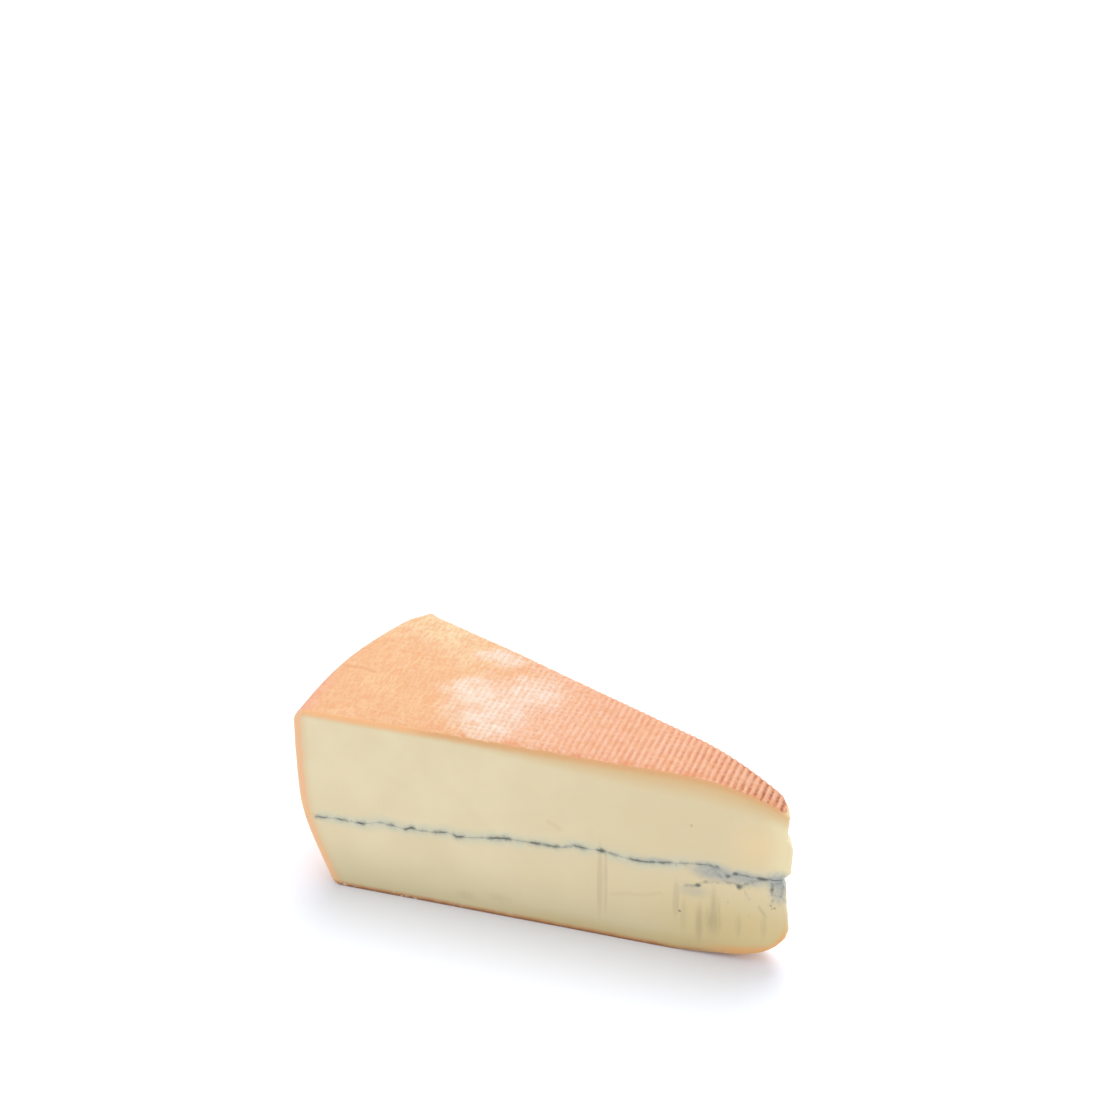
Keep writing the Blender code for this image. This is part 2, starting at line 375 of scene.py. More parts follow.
# The ash: its height along the shown cut, and the dark stretches there, each from, to and how dark.
# Further in, its course is calmer and its amount is left to noise.
ash = {
    "course": ((0, 0.0331), (0.0018, 0.0332), (0.0041, 0.0324), (0.0064, 0.0324), (0.0083, 0.0321),
               (0.0145, 0.0322), (0.0167, 0.0322), (0.0180, 0.0314), (0.0192, 0.0311), (0.0207, 0.0324),
               (0.0225, 0.0334), (0.0253, 0.0338), (0.0313, 0.0331), (0.0393, 0.0318), (0.0474, 0.0306),
               (0.0540, 0.0310), (0.0600, 0.0321), (0.0637, 0.0316), (0.0686, 0.0320), (0.0736, 0.0304),
               (0.0825, 0.0302), (0.0920, 0.0300), (0.1020, 0.0282), (0.1085, 0.0273), (0.1114, 0.0283),
               (0.1172, 0.0272), (0.1213, 0.0270), (0.1234, 0.0278), (0.1258, 0.0264), (0.1309, 0.0272),
               (0.1351, 0.0273), (0.1406, 0.0256), (0.1500, 0.0258), (0.1574, 0.0250), (0.1650, 0.0252)),
    "calmCourse": ((0, 0.0329), (0.026, 0.0336), (0.047, 0.0310), (0.062, 0.0319), (0.085, 0.0298),
                   (0.120, 0.0271), (0.165, 0.0254)),
    "shownDepth": 0.007,  # the shown cut's own kinks fade out this far in
    "waves": ((0.0210, 0.00035), (0.0083, 0.00022)),  # lengths and heights
    "skew": 0.12,
    "swell": 0.0009,
    "swellSize": 0.040,
    "swellSeed": 0.05,
    "kinks": (0.00022, 0.0031),  # their height and size
    "kinkSeed": 0.4,
    "end": 0.1592,  # the ash stops short of the heel's rind
    "closing": (0.004, 0.0022),  # it thins out this far before its end
    "room": (0.018, 0.045),  # the ash lies between these heights
    "thin": 0.00020,
    "thick": 0.00036,
    "mostAmount": 1.2,
    "inset": 0.01,  # the share of its thickness kept clear of the curd on either side
    "rounds": 4,  # rounds of the search for the ash's place between the underside and the top
    "dustSeed": 0.7,
    "dustPatches": (0.0065, 0.0024, 0.5),  # the coarse and fine ones' sizes, and the fine ones' share
    "dustRange": (-0.35, 0.75),
    "dustGrain": (0.35, 0.0017),
    "dustReach": 0.006,  # the dust's amount is noted this far above and below
    "stretchSoft": 0.0014,
    "stretches": ((0.1526, 0.1576, 0.60), (0.1456, 0.1502, 0.60), (0.1397, 0.1429, 0.90),
                  (0.1331, 0.1352, 0.42), (0.1290, 0.1325, 0.60), (0.1225, 0.1263, 1.00),
                  (0.1180, 0.1215, 0.42), (0.1115, 0.1167, 0.62), (0.1058, 0.1095, 0.90),
                  (0.0980, 0.1058, 0.28), (0.0896, 0.0980, 0.78), (0.0839, 0.0896, 0.30),
                  (0.0802, 0.0839, 0.90), (0.0733, 0.0802, 0.62), (0.0693, 0.0733, 0.42),
                  (0.0644, 0.0693, 0.60), (0.0588, 0.0614, 1.00), (0.0539, 0.0585, 0.42),
                  (0.0422, 0.0513, 0.70), (0.0370, 0.0422, 0.60), (0.0306, 0.0351, 0.40),
                  (0.0217, 0.0300, 0.55), (0.0184, 0.0197, 0.95), (0.0159, 0.0175, 0.95),
                  (0.0102, 0.0159, 0.60), (0.0061, 0.0102, 1.00), (-0.0010, 0.0061, 0.75)),
}


def ashHeight(reach, across):
    calm = readTable(ash["calmCourse"], reach)
    for length, size in ash["waves"]:
        calm += size * math.sin(2 * math.pi * (reach + ash["skew"] * across) / length)
    calm += ash["swell"] * noise.noise(Vector((reach, across, ash["swellSeed"])) / ash["swellSize"])
    shown = readTable(ash["course"], reach)
    height, size = ash["kinks"]
    kinks = height * noise.noise(Vector((reach, across, ash["kinkSeed"])) / size)
    return shown + (calm - shown) * smooth(across, 0, ash["shownDepth"]) + kinks


def ashAmount(reach, across):
    # From 0, hardly any, to 1, a thick dark stretch
    spot = Vector((reach, across, ash["dustSeed"]))
    coarse, fine, share = ash["dustPatches"]
    loose = smooth(noise.noise(spot / coarse) + share * noise.noise(spot / fine), *ash["dustRange"])
    shown = 0
    soft = ash["stretchSoft"]
    for start, end, strength in ash["stretches"]:
        inside = smooth(reach, start - soft, start + soft) * (1 - smooth(reach, end - soft, end + soft))
        shown = max(shown, strength * inside)
    share, size = ash["dustGrain"]
    shown *= 1 + share * noise.noise(spot / size)
    amount = shown + (loose - shown) * smooth(across, 0, ash["shownDepth"])
    return max(amount, 0)


def ashHalf(reach, across):
    # Half of the ash's thickness
    start, end = (ash["end"] - gap for gap in ash["closing"])
    amount = min(ashAmount(reach, across), ash["mostAmount"])
    thickness = ash["thin"] + (ash["thick"] - ash["thin"]) * amount
    return thickness * (1 - smooth(reach, start, end)) / 2


@lru_cache(maxsize=None)
def ashShares(s, t):
    # The shares of the wedge's height where the ash's underside and top cross a line up through it
    w = 0.5
    for step in range(ash["rounds"]):
        spot = bodySpot(s, t, w)
        w += (ashHeight(spot.reach, spot.across) - spot.point.z) / wheel["height"]
    half = ashHalf(spot.reach, spot.across) / wheel["height"]
    if faceLength * (1 - s) > ash["end"] - tiny:
        half = 0
    return w - half, w + half


def lowerSpot(s, t, v):
    return bodySpot(s, t, ashShares(s, t)[0] * v)


def upperSpot(s, t, v):
    low = ashShares(s, t)[1]
    return bodySpot(s, t, low + (1 - low) * v)


def ashSpot(s, t, v):
    low, high = ashShares(s, t)
    inset = ash["inset"]
    return bodySpot(s, t, low + (high - low) * (inset + (1 - 2 * inset) * v))


# How finely the wedge is divided. Places along are in metres from the tip. The layers of curd are divided
# upwards in the ratio of the numbers given, the upper one from the ash and the lower one from the table.
grid = {
    "alongStep": 0.001075,
    "alongEnd": 0.1505,
    "heelPlaces": (0.1520, 0.1535, 0.1550, 0.1563, 0.1575, 0.1585, 0.1592, 0.1598, 0.1604, 0.1610, 0.1615,
                   0.1620, 0.1624, 0.1628, 0.1631),
    "acrossSteps": 34,
    "upper": (0, 0.4, 0.9, 1.6, 2.6, 4.2, 6.5, 9.5, 13, 16.5, 20, 23, 25.5, 27.3, 28.5, 29.4, 30.1, 30.6, 31),
    "lower": (0, 0.35, 0.8, 1.4, 2.2, 3.4, 5, 7, 9.5, 12.5, 16, 20, 23.5, 26.5, 28.7, 30, 30.9, 31.5, 32),
    "topCuts": 2,
    "undersideCuts": 1,
    "noseCuts": 2,
    "ashCuts": 2,
}
heelSide, noseSide, shownSide, farSide, lowSide, highSide = range(6)


def asShares(places):
    return [place / places[-1] for place in places]


def acrossShares():
    return [step / grid["acrossSteps"] for step in range(grid["acrossSteps"] + 1)]


def alongShares():
    places = [step * grid["alongStep"] for step in range(int(grid["alongEnd"] / grid["alongStep"]) + 1)]
    places += grid["heelPlaces"]
    return [1 - place / faceLength for place in places][::-1]


def gridShell(stations):
    # A closed box of square faces, cut at the stations, whose corners still hold their shares
    mesh = bmesh.new()
    sides = mesh.faces.layers.int.new("side")
    counts = [len(places) - 1 for places in stations]
    corners = {}

    def corner(*index):
        if index not in corners:
            corners[index] = mesh.verts.new([places[i] for places, i in zip(stations, index)])
        return corners[index]

    for axis in range(3):
        first, second = (axis + 1) % 3, (axis + 2) % 3
        for end in (0, 1):
            for a in range(counts[first]):
                for b in range(counts[second]):
                    loop = []
                    for stepA, stepB in ((0, 0), (1, 0), (1, 1), (0, 1)):
                        index = [end * counts[axis]] * 3
                        index[first] = a + stepA
                        index[second] = b + stepB
                        loop.append(corner(*index))
                    face = mesh.faces.new(loop if end else loop[::-1])
                    face[sides] = 2 * axis + end
    return mesh, sides


def divide(mesh, sides, side, cuts, upOnly=False):
    # Cuts one side's faces finer, both ways or upwards only
    edges = set()
    for face in mesh.faces:
        if face[sides] == side:
            for edge in face.edges:
                run = edge.verts[0].co - edge.verts[1].co
                if not upOnly or abs(run.z) > 1e-9:
                    edges.add(edge)
    bmesh.ops.subdivide_edges(mesh, edges=list(edges), cuts=cuts, use_grid_fill=True)


def bend(mesh, law):
    # Moves each corner from its shares to its place, and notes what the finish needs there
    depths = mesh.verts.layers.float_vector.new("depths")
    layers = mesh.verts.layers.float_vector.new("layers")
    place = mesh.verts.layers.float_vector.new("place")
    amounts = mesh.verts.layers.float.new("amount")
    for vertex in mesh.verts:
        spot = law(*vertex.co)
        above = spot.point.z - ashHeight(spot.reach, spot.across)
        vertex[depths] = Vector((spot.fromTop, spot.fromUnder, spot.fromHeel)) * mm
        vertex[layers] = Vector((above * mm, spot.groove, spot.farGap * mm))
        vertex[place] = Vector((spot.reach, spot.across, spot.point.z)) * mm
        vertex[amounts] = ashAmount(spot.reach, spot.across) if abs(above) < ash["dustReach"] else 0
        vertex.co = spot.point


def dropJoinedFaces(mesh, sides, side):
    # Where there is no ash, the two layers of curd have grown together
    joined = 1 - (ash["end"] - 1e-5) / faceLength
    inside = [face for face in mesh.faces if face[sides] == side and face.calc_center_median().x < joined]
    bmesh.ops.delete(mesh, geom=inside, context="FACES")


def makePiece(name, mesh, sides, materials):
    # The edges stay sharp round both cuts, and soft elsewhere
    for edge in mesh.edges:
        ends = {face[sides] for face in edge.link_faces}
        cut = ends & {shownSide, farSide}
        edge.smooth = not (len(ends) > 1 and cut) and len(edge.link_faces) == 2
    for face in mesh.faces:
        face.smooth = True
    data = bpy.data.meshes.new(name)
    mesh.to_mesh(data)
    mesh.free()
    for material in materials:
        data.materials.append(material)
    piece = bpy.data.objects.new(name, data)
    bpy.context.scene.collection.objects.link(piece)
    return piece


def makeHalf(heights, ashSide, rindSide, rindCuts, law):
    # One of the two layers of curd
    mesh, sides = gridShell((alongShares(), acrossShares(), asShares(heights)))
    dropJoinedFaces(mesh, sides, ashSide)
    divide(mesh, sides, rindSide, rindCuts)
    divide(mesh, sides, noseSide, grid["noseCuts"], upOnly=True)
    bend(mesh, law)
    return mesh


def joinHalves(upper, lower):
    half = bpy.data.meshes.new("lower half")
    lower.to_mesh(half)
    lower.free()
    upper.from_mesh(half)
    bpy.data.meshes.remove(half)
    bmesh.ops.remove_doubles(upper, verts=upper.verts[:], dist=tiny)


def isRind(face, side, depths):
    # The top, the underside, the heel and the foot of the nose, but not the walls of the ash's room
    low, high = ash["room"]
    if side in (lowSide, highSide):
        return not low < face.calc_center_median().z < high
    fromUnder = sum(vertex[depths].y for vertex in face.verts) / len(face.verts)
    return side == heelSide or (side == noseSide and fromUnder < nose["footRind"])


def makeCurd(materials):
    mesh = makeHalf(grid["upper"], lowSide, highSide, grid["topCuts"], upperSpot)
    joinHalves(mesh, makeHalf(grid["lower"], highSide, lowSide, grid["undersideCuts"], lowerSpot))
    sides = mesh.faces.layers.int["side"]
    depths = mesh.verts.layers.float_vector["depths"]
    for face in mesh.faces:
        face.material_index = 1 if isRind(face, face[sides], depths) else 0
    return makePiece("curd", mesh, sides, materials)


def makeAsh(material):
    end = 1 - ash["end"] / faceLength
    places = [share for share in alongShares() if share > end - tiny]
    mesh, sides = gridShell((places, acrossShares(), (0, 1)))
    divide(mesh, sides, shownSide, grid["ashCuts"])
    bend(mesh, ashSpot)
    bmesh.ops.remove_doubles(mesh, verts=mesh.verts[:], dist=tiny)
    return makePiece("ash", mesh, sides, [material])


# Small helpers for the materials. Each adds to the nodes of the material that is on the bench.
bench = {}


def tint(red, green, blue):
    # A colour as a screen shows it, from 0 to 255, made linear
    parts = []
    for part in (red, green, blue):
        share = part / 255
        parts.append(share / 12.92 if share <= 0.04045 else ((share + 0.055) / 1.055) ** 2.4)
    return (*parts, 1)


def put(socket, value):
    if isinstance(value, bpy.types.NodeSocket):
        bench["nodes"].links.new(value, socket)
    else:
        socket.default_value = value


def addNode(kind):
    return bench["nodes"].nodes.new("ShaderNode" + kind)


def maths(operation, *values):
    node = addNode("Math")
    node.operation = operation
    for socket, value in zip(node.inputs, values):
        put(socket, value)
    return node.outputs[0]


def vectorMaths(operation, *values):
    node = addNode("VectorMath")
    node.operation = operation
    for socket, value in zip(node.inputs, values):
        put(socket, value)
    return node.outputs["Value" if operation in ("DOT_PRODUCT", "LENGTH", "DISTANCE") else "Vector"]


def times(*values):
    product = values[0]
    for value in values[1:]:
        product = maths("MULTIPLY", product, value)
    return product


def fade(value, start, end, low=0.0, high=1.0):
    # Goes softly from low at start to high at end
    node = addNode("MapRange")
    node.interpolation_type = "SMOOTHSTEP"
    for socket, setting in zip(node.inputs, (value, start, end, low, high)):
        put(socket, setting)
    return node.outputs[0]


def mix(share, first, second):
    node = addNode("Mix")
    node.data_type = "RGBA"
    put(node.inputs[0], share)
    put(node.inputs[6], first)
    put(node.inputs[7], second)
    return node.outputs[2]


def readMesh(name):
    # A vector noted on the mesh, and its three parts
    node = addNode("Attribute")
    node.attribute_name = name
    split = addNode("SeparateXYZ")
    put(split.inputs[0], node.outputs["Vector"])
    return node.outputs["Vector"], split.outputs


def readAmount():
    # How much ash there is
    node = addNode("Attribute")
    node.attribute_name = "amount"
    return node.outputs["Fac"]


def cloud(place, size, detail=2.0, stretch=(1, 1, 1), shift=0.0):
    # Soft noise from about 0 to 1, whose patches are about that many millimetres across
    scale = [part / size for part in stretch]
    moved = vectorMaths("MULTIPLY", place, scale)
    if shift:
        moved = vectorMaths("ADD", moved, (shift, shift, shift))
    node = addNode("TexNoise")
    put(node.inputs["Vector"], moved)
    node.inputs["Scale"].default_value = 1
    node.inputs["Detail"].default_value = detail
    return node.outputs[0]


def wander(value, place, size, amount, detail=2.0, shift=0.0):
    # A distance, made to wander by soft noise
    return maths("ADD", value, times(cloud(place, size, detail, shift=shift), amount))


def patch(place, centre, size, soft=0.5):
    # 1 inside an oval round a place, fading to 0 at its edge
    away = vectorMaths("SUBTRACT", place, centre)
    away = vectorMaths("DIVIDE", away, size)
    return fade(vectorMaths("LENGTH", away), 1 - soft, 1 + soft, 1, 0)


def strokeGap(place, points):
    # The distance to the nearest of a line's straight runs
    nearest = None
    for start, end in zip(points, points[1:]):
        run = Vector(end) - Vector(start)
        away = vectorMaths("SUBTRACT", place, start)
        share = maths("DIVIDE", vectorMaths("DOT_PRODUCT", away, run), run.length_squared)
        share = maths("MINIMUM", maths("MAXIMUM", share, 0), 1)
        scaled = addNode("VectorMath")
        scaled.operation = "SCALE"
        scaled.inputs[0].default_value = run
        put(scaled.inputs["Scale"], share)
        gap = vectorMaths("LENGTH", vectorMaths("SUBTRACT", away, scaled.outputs[0]))
        nearest = gap if nearest is None else maths("MINIMUM", nearest, gap)
    return nearest


def newMaterial(name):
    material = bpy.data.materials.new(name)
    material.use_nodes = True
    bench["nodes"] = material.node_tree
    return material, material.node_tree.nodes["Principled BSDF"]


def addBump(shader, height, strength, distance):
    bump = addNode("Bump")
    bump.inputs["Strength"].default_value = strength
    bump.inputs["Distance"].default_value = distance
    put(bump.inputs["Height"], height)
    put(shader.inputs["Normal"], bump.outputs[0])


def setFinish(shader, look, colour, patches, relief):
    # The colour, the sheen, the light that goes in a little, and the finest relief
    put(shader.inputs["Base Color"], colour)
    put(shader.inputs["Roughness"], fade(patches, 0.3, 0.7, *look["roughness"]))
    shader.inputs["Subsurface Weight"].default_value = look["glow"]
    shader.inputs["Subsurface Radius"].default_value = look["glowRadius"]
    shader.inputs["Subsurface Scale"].default_value = look["glowScale"]
    addBump(shader, relief, *look["bump"])


def highest(shares):
    # The highest of several shares
    most = shares[0]
    for share in shares[1:]:
        most = maths("MAXIMUM", most, share)
    return most


pasteLook = {
    "light": tint(234, 218, 178),
    "deep": tint(230, 213, 171),
    "toTip": tint(224, 205, 161),
    "nose": tint(236, 222, 176),
    "warm": tint(240, 212, 160),
    # Painted shade toward the table
    "low": tint(213, 200, 159),
    "lowTip": tint(218, 197, 142),
    # Painted glow of light through the rind, in the paste under it
    "rindGlow": tint(224, 187, 131),
    "rindEdge": tint(225, 171, 114),
    "rindEdgeHeel": tint(248, 187, 128),
    "heelBand": tint(240, 190, 142),
    "overBottom": tint(205, 184, 130),
    "bottomEdge": tint(200, 142, 90),
    # A painted shadow line where the wedge meets the table
    "contactShadow": tint(140, 94, 60),
    "crumb": tint(228, 206, 186),
    "foot": tint(232, 177, 112),
    "haze": tint(212, 208, 180),
    "veil": tint(150, 152, 136),
    "blue": tint(168, 170, 164),
    "dust": tint(104, 107, 96),
    "speck": tint(84, 90, 86),
    "smear": tint(166, 148, 114),
    "crack": tint(196, 160, 116),
    "roughness": (0.36, 0.52),
    "glow": 0.2,  # how much light goes into it
    "glowRadius": (1.0, 0.7, 0.35),
    "glowScale": 0.003,
    "bump": (0.25, 0.0003),  # strength and depth
    # Where colours start and where they are full, in millimetres from the tip and up from the table
    "toTipReach": (110, 25),
    "lowShadeHeight": (24, 4),
    "lowTipReach": (52, 18),
    "lowTipHeight": (28, 12),
    "noseReach": (14, 5),
    "noseHeight": (22, 34),
    "warmOval": ((10, 0, 44), (7, 12, 7)),
    "footReach": (32, 14),
    "overBottomReach": (110, 70),
    "bottomReach": (14, 50),
    "crumbReach": (95, 120),
    "rindGlowReach": (125, 20),
    "rindEdgeHeelReach": (112, 128),
    "rindEdgeNoseReach": (4, 0.5),
    "rindGlowWidth": (4.5, 11.0),  # by the heel and by the tip
    # The same, in from the top, the heel or the underside
    "rindEdgeDepth": (4.0, 1.1),
    "heelDepth": (6, 2.2),
    "heelBandDepth": (3.2, 2.4),
    "overBottomDepth": (8, 1.5),
    "footDepth": (5.0, 1.2),
    "bottomEdgeDepth": (2.7, 0.9),
    "contactShadowDepth": (1.5, 0.5),
    "crumbDepth": (2.2, 1.2),
    # How far the ash's haze, veil and core reach from its middle
    "hazeReach": 4.2,
    "veilReach": 2.1,
    "coreReach": 0.9,
    # Ovals on the shown cut, in millimetres from the tip and up from the table, then how strong each is
    "blueOvals": ((23.7, 31.4, 6.1, 2.7, 0.90), (14.0, 31.0, 5.8, 2.2, 0.85),
                  (2.8, 31.6, 3.8, 3.5, 1.00), (2.7, 28.1, 2.6, 3.5, 0.80),
                  (30.1, 23.4, 4.2, 2.2, 0.35), (18.5, 30.7, 5.2, 2.2, 0.70),
                  (41.2, 31.8, 4.8, 1.2, 0.40)),
    "darkOvals": ((19.2, 30.9, 0.7, 0.6, 1.00), (16.7, 32.4, 0.8, 0.6, 1.00),
                  (28.5, 25.6, 0.9, 0.6, 1.00), (15.4, 27.8, 0.7, 0.9, 1.00),
                  (8.3, 32.2, 1.1, 0.6, 1.00), (59.9, 32.0, 0.6, 0.8, 1.00),
                  (22.5, 33.6, 0.6, 0.5, 0.80), (40.1, 31.6, 0.7, 0.4, 0.70),
                  (5.0, 29.1, 0.5, 0.9, 0.80), (34.3, 14.8, 0.35, 0.35, 0.80),
                  (4.0, 22.2, 0.4, 0.35, 0.70), (5.1, 22.8, 0.3, 0.3, 0.60),
                  (4.7, 21.6, 0.3, 0.25, 0.50), (12.2, 17.8, 0.25, 0.25, 0.30),
                  (18.8, 21.2, 0.25, 0.25, 0.30), (31.1, 47.1, 0.3, 0.5, 0.35)),
    "smearOvals": ((60.5, 21.2, 0.8, 10.5, 0.38), (58.5, 21.4, 0.6, 9.5, 0.30), (35.5, 18.9, 0.9, 5.6, 0.34),
                   (33.0, 13.2, 0.9, 5.6, 0.22), (27.8, 11.8, 1.1, 5.8, 0.45), (23.5, 16.5, 1.1, 7.6, 0.40),
                   (23.4, 13.2, 2.2, 4.6, 0.50), (22.0, 15.8, 0.8, 5.8, 0.30), (15.2, 13.0, 0.9, 3.6, 0.25),
                   (7.2, 15.0, 0.9, 4.2, 0.22), (105.8, 5.4, 2.8, 1.4, 0.18), (93.8, 6.8, 3.6, 1.5, 0.16)),
    "cracks": (((77.6, 39.2), (75.4, 38.4), (73.6, 37.0)),
               ((56.4, 16.4), (52.0, 17.4), (45.0, 18.4), (40.7, 20.2))),
    # Dark threads of ash round the branch at the tip, then how strong each is
    "veins": ((((32.5, 24.8), (30.2, 25.1), (28.5, 25.7), (27.6, 26.6), (25.9, 27.4)), 0.50),
              (((25.9, 27.4), (22.0, 28.0), (19.5, 28.8)), 0.25),
              (((19.5, 28.8), (17.7, 28.8), (16.0, 28.5), (15.5, 27.3)), 0.55),
              (((15.5, 27.3), (14.1, 28.7), (11.9, 30.2), (9.4, 31.4)), 0.50),
              (((24.0, 33.4), (22.4, 31.0), (20.0, 29.6)), 0.35),
              (((1.8, 33.0), (3.3, 31.5), (4.8, 30.6), (5.3, 28.4), (4.7, 27.1)), 0.65),
              (((2.4, 31.6), (1.6, 29.4), (2.2, 27.0)), 0.45),
              (((8.8, 21.7), (7.8, 19.8), (6.6, 18.6)), 0.25),
              (((4.6, 25.3), (5.4, 23.3)), 0.35),
              (((13.8, 26.9), (12.2, 24.0)), 0.18)),
}


def ovals(place, table):
    # Soft ovals on the shown cut
    shares = []
    for reach, height, halfReach, halfHeight, strength in table:
        oval = patch(place, (reach, 0, height), (halfReach, 6, halfHeight), 0.75)
        shares.append(times(oval, strength))
    return highest(shares)


def curdColour(look, place, reach, height):
    # Soft clouds, duller to the tip, darkened toward the table by painted shade, yellower at the torn nose
    colour = mix(fade(cloud(place, 18), 0.3, 0.7), look["light"], look["deep"])
    colour = mix(fade(reach, *look["toTipReach"], 0, 0.8), colour, look["toTip"])
    # Painted shade, darker toward the table
    low = fade(wander(height, place, 20, 6), *look["lowShadeHeight"], 0, 0.8)
    colour = mix(low, colour, look["low"])
    lowTip = times(fade(reach, *look["lowTipReach"]), fade(height, *look["lowTipHeight"]))
    colour = mix(lowTip, colour, look["lowTip"])
    torn = times(fade(wander(reach, place, 7, 7), *look["noseReach"]), fade(height, *look["noseHeight"]))
    colour = mix(torn, colour, look["nose"])
    warm = patch(place, *look["warmOval"], 0.9)
    return mix(times(warm, 0.6), colour, look["warm"])


def underTop(look, place, colour, reach, fromTop):
    # The orange under the top's rind, painted as light glowing through the rind, and the rind's own cut edge
    wide = fade(reach, *look["rindGlowReach"], *look["rindGlowWidth"])
    share = maths("SUBTRACT", 1, maths("DIVIDE", wander(fromTop, place, 5, 0.9), wide))
    colour = mix(fade(share, 0, 0.8), colour, look["rindGlow"])
    edge = wander(fromTop, place, 2.4, 1.0, 3)
    band = mix(fade(reach, *look["rindEdgeHeelReach"]), look["rindEdge"], look["rindEdgeHeel"])
    band = mix(fade(reach, *look["rindEdgeNoseReach"], 0, 0.7), band, look["nose"])
    return mix(fade(edge, *look["rindEdgeDepth"]), colour, band)


def besideHeel(look, place, colour, fromHeel):
    # Painted glow of light through the heel's rind, then the rind's own band
    edge = wander(fromHeel, place, 6, 0.8)
    colour = mix(fade(edge, *look["heelDepth"], 0, 0.5), colour, look["rindGlow"])
    return mix(fade(edge, *look["heelBandDepth"]), colour, look["heelBand"])


def overUnderside(look, place, colour, reach, fromUnder):
    # The rounded foot of the nose, the thin line of rind along the table, and a painted shadow line where the
    # wedge meets the table
    edge = wander(fromUnder, place, 4, 0.8)
    foot = fade(reach, *look["footReach"])
    over = fade(edge, *look["overBottomDepth"])
    over = times(over, fade(reach, *look["overBottomReach"], 0.2, 0.75))
    colour = mix(times(over, fade(foot, 0, 1, 1, 0.3)), colour, look["overBottom"])
    colour = mix(times(foot, fade(edge, *look["footDepth"])), colour, look["foot"])
    # The rind's own line, then a painted shadow line at the very edge by the table
    for name, most in (("bottomEdge", 1), ("contactShadow", 0.9)):
        line = fade(edge, *look[name + "Depth"])
        line = times(line, fade(reach, *look["bottomReach"], 0.1, most))
        colour = mix(line, colour, look[name])
    crumbs = fade(cloud(place, 1.3, 2, shift=9.0), 0.6, 0.68)
    crumbs = times(crumbs, fade(edge, *look["crumbDepth"]), fade(reach, *look["crumbReach"]))
    return mix(crumbs, colour, look["crumb"])


def driftFrom(place, above, size, detail, sway):
    # The distance from the ash's middle, as its dust has drifted
    drift = times(maths("SUBTRACT", cloud(place, size, detail), 0.5), sway)
    return maths("ABSOLUTE", maths("ADD", above, drift))


def dustColour(look, place, colour, above, fromHeel, amount):
    # The ash's pale haze, its soft dark core, and loose specks
    gap = driftFrom(place, above, 5, 2.0, 3)
    haze = fade(gap, look["hazeReach"], 0.1)
    haze = times(haze, fade(cloud(place, 8, 3), 0.25, 0.7, 0.35, 1))
    haze = times(haze, fade(fromHeel, 4, 6))
    colour = mix(haze, colour, look["haze"])
    nearer = driftFrom(place, above, 1.6, 3, 1.8)
    veil = times(fade(nearer, look["veilReach"], 0), fade(amount, 0.1, 0.9, 0, 0.5))
    colour = mix(veil, colour, look["veil"])
    core = times(fade(nearer, look["coreReach"], 0), fade(amount, 0.05, 1.0, 0, 0.85))
    colour = mix(core, colour, look["dust"])
    specks = fade(cloud(place, 0.8, 3), 0.56, 0.72)
    return mix(times(specks, fade(gap, 1.3, 0.2), 0.45), colour, look["speck"])


def drawn(place, line, width, strength):
    # A thin soft line on the shown cut
    gap = strokeGap(place, [(reach, 0, height) for reach, height in line])
    return fade(gap, width, 0, 0, strength)


def knifeMarks(look, place, colour):
    # What the knife dragged down from the ash, the ash's branch by the tip, and small cracks,
    # on the shown cut only
    sway = maths("SUBTRACT", cloud(place, 1.5, 3), 0.5)
    bent = vectorMaths("MULTIPLY_ADD", sway, (3.4, 0, 2.6), place)
    slightly = vectorMaths("MULTIPLY_ADD", sway, (1.0, 0, 1.0), place)
    straight = vectorMaths("MULTIPLY_ADD", sway, (0.5, 0, 0), place)
    grain = fade(cloud(place, 1.2, 3, shift=5.0), 0.3, 0.65, 0.45, 1)
    bluish = times(ovals(bent, look["blueOvals"]), fade(grain, 0.45, 1, 0.75, 1))
    colour = mix(bluish, colour, look["blue"])
    streaks = fade(cloud(place, 0.8, 3, stretch=(1, 1, 0.05)), 0.35, 0.62, 0.6, 1)
    smears = times(ovals(straight, look["smearOvals"]), streaks)
    colour = mix(smears, colour, look["smear"])
    dots = times(ovals(slightly, look["darkOvals"]), fade(grain, 0.45, 0.8, 0.7, 1))
    colour = mix(dots, colour, look["dust"])
    broken = fade(cloud(place, 1.6, 3, shift=8.0), 0.35, 0.6, 0.35, 1)
    for line, strength in look["veins"]:
        vein = times(drawn(slightly, line, 1.0, strength), grain, broken)
        colour = mix(vein, colour, look["dust"])
    for line in look["cracks"]:
        colour = mix(drawn(slightly, line, 1.2, 0.16), colour, look["crack"])
    return colour


def makePaste():
    look = pasteLook
    material, shader = newMaterial("paste")
    place, parts = readMesh("place")
    reach, height = parts[0], parts[2]
    fromTop, fromUnder, fromHeel = readMesh("depths")[1]
    above = readMesh("layers")[1][0]

    colour = curdColour(look, place, reach, height)
    colour = underTop(look, place, colour, reach, fromTop)
    colour = besideHeel(look, place, colour, fromHeel)
    colour = overUnderside(look, place, colour, reach, fromUnder)
    colour = dustColour(look, place, colour, above, fromHeel, readAmount())
    colour = knifeMarks(look, place, colour)

    fine = cloud(place, 1.1, 4)
    drag = times(cloud(place, 1.6, 3, stretch=(1, 1, 0.06)), 0.6)
    relief = maths("ADD", fine, drag)
    setFinish(shader, look, colour, cloud(place, 3, 3), relief)
    return material


